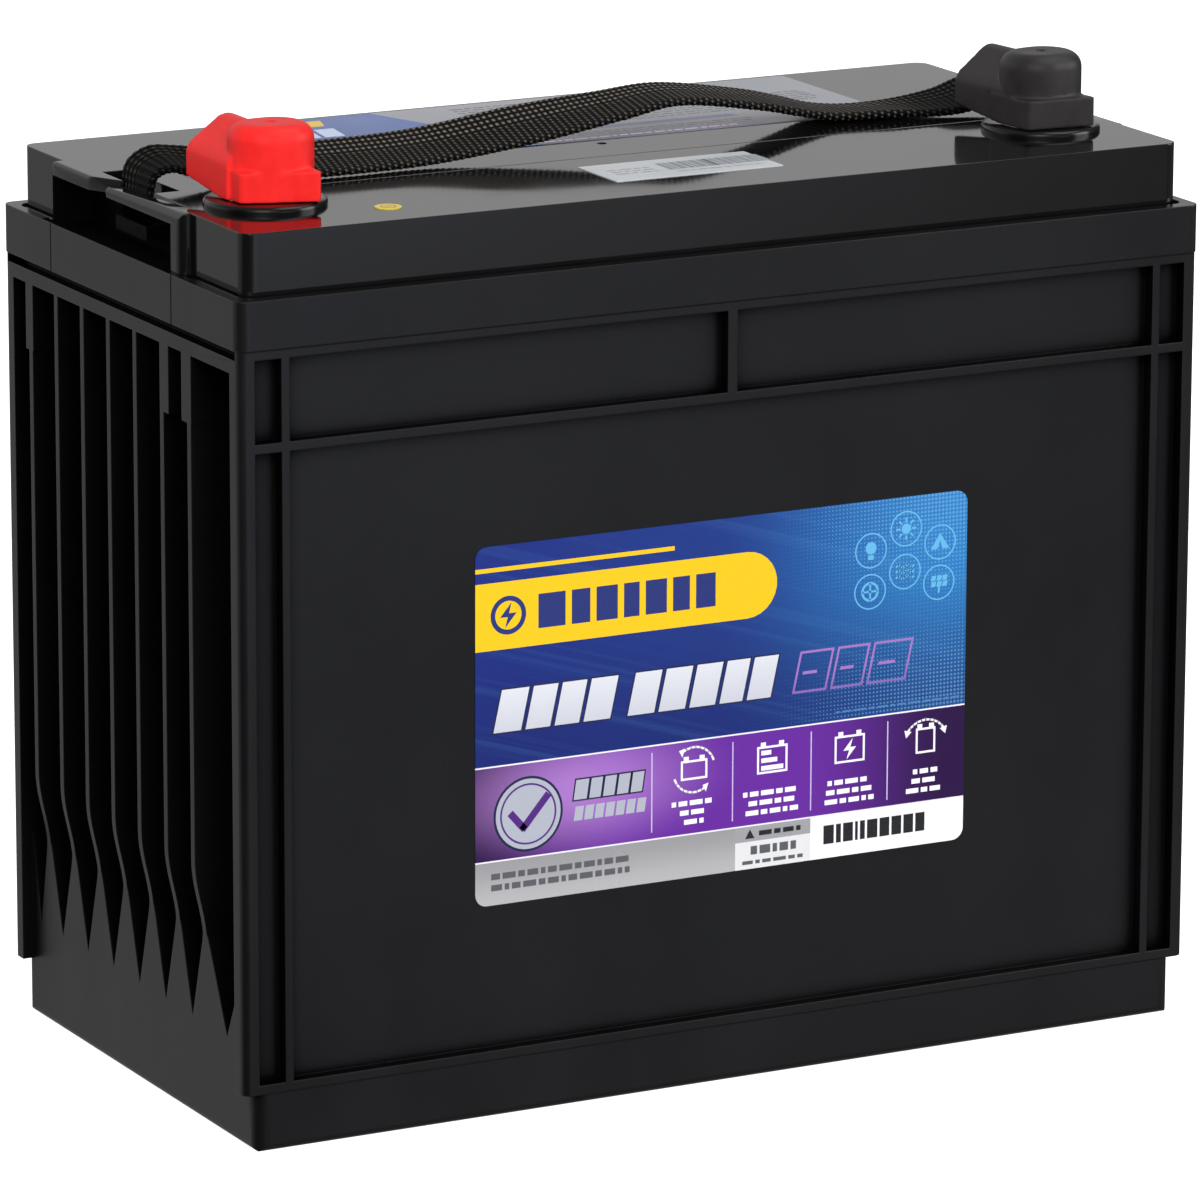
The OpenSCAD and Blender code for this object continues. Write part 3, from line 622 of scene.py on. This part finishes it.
class Sheet:
    """Printed shapes on a label, in mm from its lower left corner, as thin closed prisms."""

    def __init__(self, name, corner, right, up):
        self.name = name
        self.corner, self.right, self.up = corner, Vector(right), Vector(up)
        self.out = self.right.cross(self.up)
        self.inks = []
        self.bm = bmesh.new()

    def slot(self, ink):
        if ink not in self.inks:
            self.inks.append(ink)
        return self.inks.index(ink)

    def place(self, x, y, height):
        return self.corner + (self.right * x + self.up * y + self.out * height) * MM

    def loop(self, outer, inner, ink, lift=1):
        """A prism between an outer and an inner outline with the same number of points."""
        heights = (PRINT_DEPTH, PRINT_RISE * lift)
        rings = [[self.bm.verts.new(self.place(x, y, h)) for x, y in line]
                 for line in (outer, inner) for h in heights]
        low_out, high_out, low_in, high_in = rings
        for k in range(len(outer)):
            m = (k + 1) % len(outer)
            for a, b in ((low_out, high_out), (high_out, high_in), (high_in, low_in), (low_in, low_out)):
                self.bm.faces.new((a[k], a[m], b[m], b[k])).material_index = self.slot(ink)

    def shape(self, points, ink, lift=1):
        low, high = [[self.bm.verts.new(self.place(x, y, h)) for x, y in points]
                     for h in (PRINT_DEPTH, PRINT_RISE * lift)]
        faces = [self.bm.faces.new(high), self.bm.faces.new(list(reversed(low)))]
        for k in range(len(points)):
            m = (k + 1) % len(points)
            faces.append(self.bm.faces.new((low[k], low[m], high[m], high[k])))
        for face in faces:
            face.material_index = self.slot(ink)

    def bar(self, x0, y0, x1, y1, ink, slant=0.0, lift=1):
        lean = slant * (y1 - y0)
        self.shape([(x0, y0), (x1, y0), (x1 + lean, y1), (x0 + lean, y1)], ink, lift)

    def frame(self, x0, y0, x1, y1, line, ink, slant=0.0, lift=1):
        lean = slant * (y1 - y0)
        outer = [(x0, y0), (x1, y0), (x1 + lean, y1), (x0 + lean, y1)]
        low, high = slant * line, lean - slant * line
        inner = [(x0 + line + low, y0 + line), (x1 - line + low, y0 + line),
                 (x1 - line + high, y1 - line), (x0 + line + high, y1 - line)]
        self.loop(outer, inner, ink, lift)

    def disc(self, x, y, r, ink, lift=1, count=32):
        self.shape(arc(x, y, r, 0, 360, count), ink, lift)

    def ring(self, x, y, r, line, ink, lift=1, count=40):
        self.loop(arc(x, y, r, 0, 360, count), arc(x, y, r - line, 0, 360, count), ink, lift)

    def stroke(self, points, width, ink, lift=1):
        """A bent line made of one bar for each stretch."""
        for (x0, y0), (x1, y1) in zip(points, points[1:]):
            along = Vector((x1 - x0, y1 - y0)).normalized() * width / 2
            side = Vector((-along.y, along.x))
            a, b = Vector((x0, y0)) - along * 0.6, Vector((x1, y1)) + along * 0.6
            self.shape([tuple(a - side), tuple(b - side), tuple(b + side), tuple(a + side)], ink, lift)

    def lines(self, x0, x1, y, step, count, height, ink, seed=0):
        """Rows of small blocks that stand for small print."""
        for row in range(count):
            x, k = x0, seed + row * 3
            while x < x1 - 1:
                width = min(1.6 + (k * 7 % 5) * 0.75, x1 - x)
                self.bar(x, y - row * step, x + width, y - row * step + height, ink)
                x += width + 0.9
                k += 1

    def finish(self):
        bmesh.ops.recalc_face_normals(self.bm, faces=self.bm.faces)
        obj = mesh_object(self.name, self.bm, [INKS[ink] for ink in self.inks])
        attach(obj, "case")
        return obj


def arc(x, y, r, start, end, count):
    """Points along an arc. A full turn doesn't repeat its first point."""
    steps = count if abs(end - start) >= 360 else count - 1
    turns = [math.radians(start + (end - start) * k / steps) for k in range(count)]
    return [(x + r * math.cos(t), y + r * math.sin(t)) for t in turns]


def word(sheet, x, y, height, widths, gap, slant, ink, edge=None):
    """A row of plain leaning blocks where a word would be."""
    for width in widths:
        if edge:
            lean = slant * 0.5
            sheet.bar(x - 0.5 - lean, y - 0.5, x + width + 0.5 - lean, y + height + 0.5, edge, slant)
        sheet.bar(x, y, x + width, y + height, ink, slant, 2)
        x += width + gap


def battery_glyph(sheet, x, y, w, h, ink):
    sheet.frame(x - w / 2, y - h / 2, x + w / 2, y + h / 2, 0.7, ink)
    for side in (-1, 1):
        sheet.bar(x + side * w * 0.3 - 0.9, y + h / 2, x + side * w * 0.3 + 0.9, y + h / 2 + 1.3, ink)


def front_icons(sheet, y):
    """Four plain pictograms: cycling, depth of charge, quick charge and any position."""
    cycling_x, depth_x, quick_x, position_x = ICONS_X
    x = cycling_x
    battery_glyph(sheet, x, y, 9.5, 6.4, "white")
    for start in (20, 200):
        sweep = arc(x, y, 7.4, start, start + 105, 9)
        sheet.stroke(sweep, 0.7, "white")
        tip_x, tip_y = sweep[-1]
        head = [(tip_x - 1.2, tip_y + 0.6), (tip_x + 0.9, tip_y + 1.2), (tip_x, tip_y - 1.6)]
        sheet.shape(head, "white", 2)
    x = depth_x
    battery_glyph(sheet, x, y, 11, 9, "white")
    for k in range(3):
        sheet.bar(x - 4, y - 3.4 + k * 2.5, x + 4 - k * 2.2, y - 1.9 + k * 2.5, "white")
    x = quick_x
    battery_glyph(sheet, x, y, 11, 9, "white")
    sheet.shape([(x + 1.1, y + 3.4), (x - 2.3, y - 0.5), (x - 0.2, y - 0.5), (x - 1.1, y - 3.4),
                 (x + 2.3, y + 0.5), (x + 0.2, y + 0.5)], "white")
    x = position_x
    battery_glyph(sheet, x, y - 0.6, 7.2, 8.4, "white")
    sweep = arc(x, y - 2, 8.2, 35, 145, 11)
    sheet.stroke(sweep, 0.7, "white")
    for (tip_x, tip_y), side in ((sweep[0], 1), (sweep[-1], -1)):
        sheet.shape([(tip_x - side * 1.5, tip_y), (tip_x + side * 1.1, tip_y + 0.7),
                     (tip_x + side * 0.5, tip_y - 1.9)], "white", 2)


def use_badges(sheet):
    """Six ringed pictograms of things that a battery runs."""
    places = [(140.8, 99.3), (153.6, 105.1), (166.1, 99.4), (140.6, 85.9), (153.3, 91.1), (165.8, 86.2)]
    for x, y in places:
        sheet.ring(x, y, 5.8, 0.45, "cyan")
    lamp, sun, tent, wheel, wave, panel = places
    x, y = lamp
    sheet.disc(x, y + 0.8, 2.0, "cyan")
    sheet.bar(x - 1.0, y - 3.0, x + 1.0, y - 1.5, "cyan")
    x, y = sun
    sheet.disc(x, y, 1.7, "cyan")
    for k in range(8):
        turn = math.radians(45 * k)
        sheet.stroke([(x + 2.3 * math.cos(turn), y + 2.3 * math.sin(turn)),
                      (x + 3.5 * math.cos(turn), y + 3.5 * math.sin(turn))], 0.6, "cyan")
    x, y = tent
    sheet.shape([(x - 3.4, y - 2.2), (x - 0.9, y - 2.2), (x, y + 0.6), (x + 0.9, y - 2.2),
                 (x + 3.4, y - 2.2), (x, y + 3)], "cyan")
    x, y = wheel
    sheet.ring(x, y, 3.2, 0.8, "cyan")
    sheet.stroke([(x - 2.6, y), (x + 2.6, y)], 0.6, "cyan")
    sheet.stroke([(x, y - 2.6), (x, y + 2.6)], 0.6, "cyan")
    x, y = wave
    for k in range(3):
        points = [(x - 3.2 + 0.8 * n, y - 1.8 + 1.8 * k + 0.6 * math.sin(n * 1.57)) for n in range(9)]
        sheet.stroke(points, 0.6, "cyan")
    x, y = panel
    for k in range(3):
        for m in range(2):
            left, low = x - 3 + 2.1 * k, y - 1.4 + 2.0 * m
            sheet.bar(left, low, left + 1.7, low + 1.7, "cyan", 0.25)
    sheet.bar(x - 0.3, y - 3.4, x + 0.4, y - 1.4, "cyan")


def front_print(low):
    """Banner, title, seal, pictograms and small print on the front label, as plain blocks."""
    sheet = Sheet("front_label_print", low, (1, 0, 0), (0, 0, 1))
    # Plain yellow banner with a row of blocks where a name would be
    banner = [(0, 82.2), (96, 82.2)] + arc(96, 93, 10.8, -90, 90, 14)[1:-1] + [(96, 103.8), (0, 103.8)]
    sheet.shape(banner, "yellow")
    sheet.bar(0, 107.2, 70, 108.6, "yellow")
    widths = (9.5, 6.5, 7.5, 5.5, 7.5, 6.0, 7.0)
    word(sheet, 22, 87.6, 11, widths, 2.2, 0.0, "navy")
    sheet.ring(11.5, 93, 6.2, 1.6, "navy", 2)
    sheet.shape([(12.6, 97.0), (8.6, 92.4), (11.3, 92.4), (10.4, 89.0), (14.4, 93.6), (11.7, 93.6)],
                "navy", 2)
    use_badges(sheet)
    # Slanted title blocks
    word(sheet, 6.3, 55.6, 13.6, (9.6, 8.6, 8.6, 9.4), 1.6, 0.22, "silver", "night")
    word(sheet, 53.5, 55.6, 13.6, (9.4, 9.4, 9.2, 8.2, 8.6), 1.6, 0.22, "silver", "night")
    x = 112.5
    for width in (12.4, 11.8, 14.4):
        sheet.frame(x, 55.6, x + width, 69.2, 0.75, "violet", 0.22)
        sheet.bar(x + width * 0.3, 61.6, x + width * 0.72, 62.6, "violet", 0.22)
        x += width + 1.4
    sheet.lines(128.5, 174, 47.4, 2, 1, 0.6, "haze")
    # Silver seal with a tick, and two bars beside it
    seal_x, seal_y = 18.5, 28.2
    sheet.disc(seal_x, seal_y, 12.2, "night", 1, 44)
    sheet.disc(seal_x, seal_y, 11.4, "silver", 2, 44)
    sheet.ring(seal_x, seal_y, 9.9, 0.6, "plum", 3)
    sheet.stroke([(12.6, 28.6), (16.8, 23.8), (25.2, 33.4)], 2.4, "plum", 3)
    word(sheet, 34.5, 30.6, 6.4, (4.6, 4.0, 4.0, 4.0, 4.0), 0.9, 0.15, "silver", "night")
    word(sheet, 34.5, 23.8, 4.6, (3.0,) * 7, 0.7, 0.15, "silver")
    for x in (62.3, 91.3, 119.7, 147.7):
        sheet.bar(x - 0.2, 16.5, x + 0.2, 42.5, "lilac")
    front_icons(sheet, 35.2)
    for x, widths in zip(ICONS_X, ((16, 10, 7), (21, 17, 19), (16, 17, 18), (9, 10, 14))):
        for row, width in enumerate(widths):
            sheet.lines(x - width / 2, x + width / 2, 23.7 - 3.1 * row, 1, 1, 1.6, "white", row)
    # Strip at the foot
    sheet.lines(5.5, 54.5, 8.2, 3.6, 2, 2.0, "ink_grey", 1)
    sheet.shape([(96, 10.0), (99.4, 10.0), (97.7, 13.0)], "black")
    sheet.lines(101, 118, 10.6, 2, 1, 1.6, "black", 2)
    sheet.lines(98, 114.5, 4.6, 1, 1, 2.8, "ink_grey", 3)
    sheet.lines(95, 117, 1.5, 1, 1, 1.2, "ink_grey", 4)
    x = 124.5
    for width in (4.6, 2.6, 4.4, 1.8, 2.6, 4.6, 4.4, 4.4, 4.4, 4.2):
        sheet.bar(x, 4.6, x + width - 0.8, 10.8, "black")
        x += width
    sheet.finish()


def top_print(low):
    """Words and small print on the lid label, as plain blocks."""
    sheet = Sheet("top_label_print", low, (1, 0, 0), (0, 1, 0))
    word(sheet, 6, 42, 13, (7, 6, 6, 7), 1.4, 0.15, "pale")
    word(sheet, 36, 28, 12, (6.6, 6.4, 6.4, 5.6, 6), 1.4, 0.15, "pale")
    sheet.bar(32, 60, 37.5, 69, "yellow", 0.3)
    sheet.lines(86, 176, 66, 3.4, 5, 1.3, "ink_grey", 2)
    sheet.lines(78, 170, 46, 3.4, 7, 1.3, "ink_grey", 5)
    sheet.lines(90, 168, 11, 3, 2, 1.5, "ink_grey", 3)
    sheet.lines(68, 160, 2.4, 3, 1, 1.6, "white", 4)
    sheet.ring(189, 14, 4.2, 0.8, "white")
    sheet.bar(186.6, 13.2, 191.4, 14.8, "white")
    sheet.lines(182, 206, 46, 3.4, 5, 1.3, "ink_grey", 1)
    sheet.finish()


def barcode_print(low):
    """Bars of mixed widths and two rows of small print."""
    sheet = Sheet("barcode_label_print", low, (1, 0, 0), (0, 1, 0))
    for start, count in ((24.0, 15), (40.5, 17)):
        x = start
        for k in range(count):
            width = 0.35 + 0.35 * (k * 5 % 3)
            sheet.bar(x, 9.5, x + width, 20.5, "soft_grey")
            x += width + 0.35 + 0.3 * (k * 7 % 2)
    sheet.lines(5, 20, 15.5, 3.2, 3, 1.4, "light_grey", 1)
    sheet.lines(25, 55, 5.4, 3, 1, 1.2, "light_grey", 4)
    sheet.finish()


def dot_print(low, high):
    """A ring mark on the round date sticker."""
    sheet = Sheet("date_dot_print", Vector((low.x, low.y, high.z)), (1, 0, 0), (0, 1, 0))
    middle = (high.x - low.x) / MM / 2
    sheet.ring(middle, middle, 2.5, 0.5, "ochre")
    sheet.bar(middle - 1.1, middle - 0.3, middle + 1.1, middle + 0.3, "ochre")
    sheet.finish()


def rear_print(low, high):
    """Care symbols and small print on the back."""
    sheet = Sheet("rear_label_print", Vector((high.x, high.y, low.z)), (-1, 0, 0), (0, 0, 1))
    word(sheet, 8, 98, 10, (7, 6.4, 6.4, 7), 1.4, 0.22, "silver")
    word(sheet, 46, 98, 10, (7, 7, 6.6, 6, 6.4), 1.4, 0.22, "silver")
    for k in range(5):
        sheet.ring(16 + 16 * k, 78, 5.8, 0.6, "plum")
    sheet.shape([(17, 82), (13.4, 77.6), (15.8, 77.6), (15, 74), (18.6, 78.4), (16.2, 78.4)], "plum")
    sheet.stroke([(29, 78), (31.4, 75.4), (35.2, 81)], 1.0, "plum")
    battery_glyph(sheet, 48, 77.4, 6, 4.4, "plum")
    sheet.disc(64, 78, 2.2, "plum")
    sheet.stroke([(77.4, 75.4), (82.6, 80.6)], 0.9, "plum")
    sheet.lines(8, 92, 64, 3.6, 14, 1.3, "ink_grey", 1)
    for row in range(8):
        sheet.bar(100, 16 + row * 8.6, 168, 16.4 + row * 8.6, "plum")
    for x in (100, 134, 167.6):
        sheet.bar(x, 16, x + 0.4, 76.6, "plum")
    for row in range(7):
        sheet.lines(102, 130, 19 + row * 8.6, 1, 1, 1.8, "ink_grey", row)
        sheet.lines(137, 164, 19 + row * 8.6, 1, 1, 1.8, "ink_grey", row + 2)
    sheet.finish()


def make_labels():
    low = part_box("front_label")[0]
    dress(front_film(low), "front_label")
    front_print(low)
    low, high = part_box("top_label")
    dress(top_film(), "top_label")
    top_print(Vector((low.x, low.y, high.z)))
    low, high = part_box("barcode_label")
    # Painted shade: the barcode label's white is laid in pale grey, as the top of the battery gets
    # little light
    dress(plain_film("film_barcode", "c0c4c8", "c8cccf", 0.0, 1), "barcode_label")
    barcode_print(Vector((low.x, low.y, high.z)))
    low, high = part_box("date_dot")
    dress(plain_film("film_dot", "dcbf16", "e4c81e", 0.0, 0), "date_dot")
    dot_print(low, high)
    low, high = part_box("rear_label")
    dress(plain_film("film_rear", "e9eaec", "27419c", high.z / MM - 22, 2), "rear_label")
    rear_print(low, high)


# ---------------------------------------------------------------- the stage

# The world's level overhead, and the way to the key light
CEILING_LEVEL = 0.28
KEY_WAY = (-0.45, -0.76, 0.47)


def blend(s, share, a, b):
    """Value a where share is 0 and value b where it's 1."""
    return s.calc("ADD", a, s.calc("MULTIPLY", share, s.calc("SUBTRACT", b, a)))


def make_floor():
    """White to the camera, and mid grey in the light that it throws back."""
    bpy.ops.mesh.primitive_plane_add(size=30, location=(0, 0, CAD_LOW.z))
    floor = bpy.context.object
    floor.name = "floor"
    s = Shader("floor_paper", roughness=0.9)
    ray = s.node("LightPath").outputs["Is Camera Ray"]
    s.set("base color", s.mix(ray, "8a8a8a", "ffffff"))
    s.set("emission color", "ffffff")
    s.set("emission strength", s.calc("MULTIPLY", ray, 0.8))
    floor.data.materials.append(s.material)
    floor.visible_glossy = False


def make_world():
    """Even surroundings of different greys, which are what the glossy black parts mirror."""
    world = bpy.data.worlds.new("studio")
    bpy.context.scene.world = world
    world.use_nodes = True
    s = Shader.of_world(world)
    direction = s.node("TexCoord").outputs["Generated"]
    x, y, z = s.split(direction)
    # 0 on the viewer's side and 1 behind the battery
    around = s.span(y, -0.15, 0.45, smooth=True)
    # A bluish glow low on the right of the viewer's side, for the front faces
    glow = s.calc("MULTIPLY", s.span(z, -0.25, -0.15, smooth=True), s.span(x, 0.56, 0.36, smooth=True))
    for fade in (s.span(x, -0.3, 0.2, smooth=True), s.calc("SUBTRACT", 1.0, around),
                 s.span(z, 0.15, -0.05, smooth=True)):
        glow = s.calc("MULTIPLY", glow, fade)
    front = s.calc("ADD", s.span(x, -0.75, 0.1, 0.03, 0.18, smooth=True), s.calc("MULTIPLY", glow, 1.3))
    # A pale backdrop behind the battery, for the lid
    behind = s.calc("MULTIPLY", s.span(z, -0.1, 0.15, 0.36, 0.64, smooth=True),
                    s.span(x, 0.85, 0.6, 0.1, 1.0, smooth=True))
    level = blend(s, around, front, behind)
    level = blend(s, s.span(z, 0.35, 0.8, smooth=True), level, CEILING_LEVEL)
    # A mild stand-in for the key light in reflections, where the lamp itself would burn out
    near = s.node("VectorMath", {0: direction, 1: KEY_WAY}, operation="DOT_PRODUCT").outputs["Value"]
    for low, high, strength in ((0.84, 0.97, 0.5), (0.96, 0.99, 2.0)):
        level = s.calc("ADD", level, s.span(near, low, high, 0.0, strength, smooth=True))
    back = s.tree.nodes["Background"]
    s.feed(back.inputs["Strength"], level)
    s.feed(back.inputs["Color"], s.mix(glow, "ffffff", "dae2ff"))


def soft_box(name, place, aim, size, power, mirrored=True):
    """A rectangular lamp. One that isn't mirrored doesn't show in glossy surfaces."""
    light = bpy.data.lights.new(name, "AREA")
    light.shape = "RECTANGLE"
    light.size, light.size_y = size
    light.energy = power
    lamp = bpy.data.objects.new(name, light)
    lamp.location = place
    lamp.visible_glossy = mirrored
    lamp.rotation_euler = (Vector(aim) - Vector(place)).to_track_quat("-Z", "Y").to_euler()
    bpy.context.scene.collection.objects.link(lamp)


def make_camera():
    """A long lens a little above and to the left of the front face."""
    azimuth, elevation, roll = math.radians(-27.82), math.radians(13.98), math.radians(0.19)
    distance = 2.594
    target = Vector((0.0, 0.0, 0.1396))
    back = Vector((math.sin(azimuth) * math.cos(elevation),
                   -math.cos(azimuth) * math.cos(elevation), math.sin(elevation)))
    lens = bpy.data.cameras.new("camera")
    lens.lens = 240.1
    lens.sensor_width = 36.0
    lens.clip_start, lens.clip_end = 0.1, 100.0
    camera = bpy.data.objects.new("camera", lens)
    turn = (-back).to_track_quat("-Z", "Y").to_matrix() @ Matrix.Rotation(roll, 3, "Z")
    right, up = turn @ Vector((1, 0, 0)), turn @ Vector((0, 1, 0))
    camera.location = target + back * distance - right * 0.12 * MM - up * 0.95 * MM
    camera.rotation_euler = turn.to_euler()
    bpy.context.scene.collection.objects.link(camera)
    bpy.context.scene.camera = camera


# ---------------------------------------------------------------- assembly

dress(case_plastic(), "container")
dress(lid_plastic(), "lid", "vent_cover")
dress(collar_plastic(), "positive_collar", "negative_collar")
dress(boot_rubber("boot_red", "da1e1c", "e82826", 0.3), "positive_boot")
dress(boot_rubber("boot_black", "1f1d1d", "292525", 0.45), "negative_boot")
dress(plain_rubber("valve_rubber", "161616", "242322"), *[f"valve_cap_{i}" for i in range(1, 7)])
dress(plain_rubber("seal_rubber", "2a1a16", "3d2822"), "terminal_seals")
dress(metal("lead", "6d7076", "8f9298", 0.5), "negative_plates", "positive_plate_straps",
      "negative_plate_straps", "intercell_links")
dress(plate_paste("plate_paste", "3c241a", "5c3a2b"), "positive_plates")
dress(glass_mat(), "separators")
dress(metal("terminal_brass", "9c7a3f", "c7a362", 0.3), "positive_terminal", "negative_terminal")
dress(metal("plated_steel", "a9abae", "cfd1d3", 0.25), "positive_bolt", "negative_bolt",
      "positive_flat_washer", "negative_flat_washer", "positive_spring_washer", "negative_spring_washer")
# The strap stops are black plastic; their extra dark colour and faint shine are painted shade, as they
# sit deep in the shadow of their boxes
dress(plain_rubber("stop_plastic", "020202", "050505", 0.08), "left_strap_stop", "right_strap_stop")
INKS = {
    "yellow": ink("ink_yellow", "eebe00"), "navy": ink("ink_navy", "1c2a6e"),
    "silver": ink("ink_silver", "a9adba", 0.32, "f2f3f7", 0.11, 0.16),
    "white": ink("ink_white", "f4f2f8"), "cyan": ink("ink_cyan", "5eaedb"),
    "lilac": ink("ink_lilac", "c9b9e2"), "night": ink("ink_night", "0f1540"),
    "ink_grey": ink("ink_grey", "55565c"), "light_grey": ink("ink_light_grey", "8c9096"),
    "black": ink("ink_black", "17181c"), "plum": ink("ink_plum", "4a1a78"),
    "violet": ink("ink_violet", "54489c", colour_top="9a6fb8", low=0.116, high=0.13),
    "haze": ink("ink_haze", "3f78b0"), "soft_grey": ink("ink_soft_grey", "6f7379"),
    "pale": ink("ink_pale", "c3d2ef"), "ochre": ink("ink_ochre", "8a7412"),
}
make_labels()

soften("container", 0.45)
soften("lid", 0.7)
soften("vent_cover", 0.2)
mould("positive_boot")
mould("negative_boot")
make_strap(LID_HIGH.z)

make_floor()
make_world()
soft_box("key", (-1.3, -2.2, 1.35), (0, 0, 0.15), (2.0, 2.0), 82, mirrored=False)
soft_box("fill", (2.3, -1.4, 1.1), (0, 0, 0.15), (1.6, 1.6), 30)
soft_box("top", (0.9, -0.4, 2.4), (0, 0, 0.2), (1.8, 1.4), 13)
make_camera()
view = bpy.context.scene.view_settings
view.view_transform = "Standard"
view.look = "None"
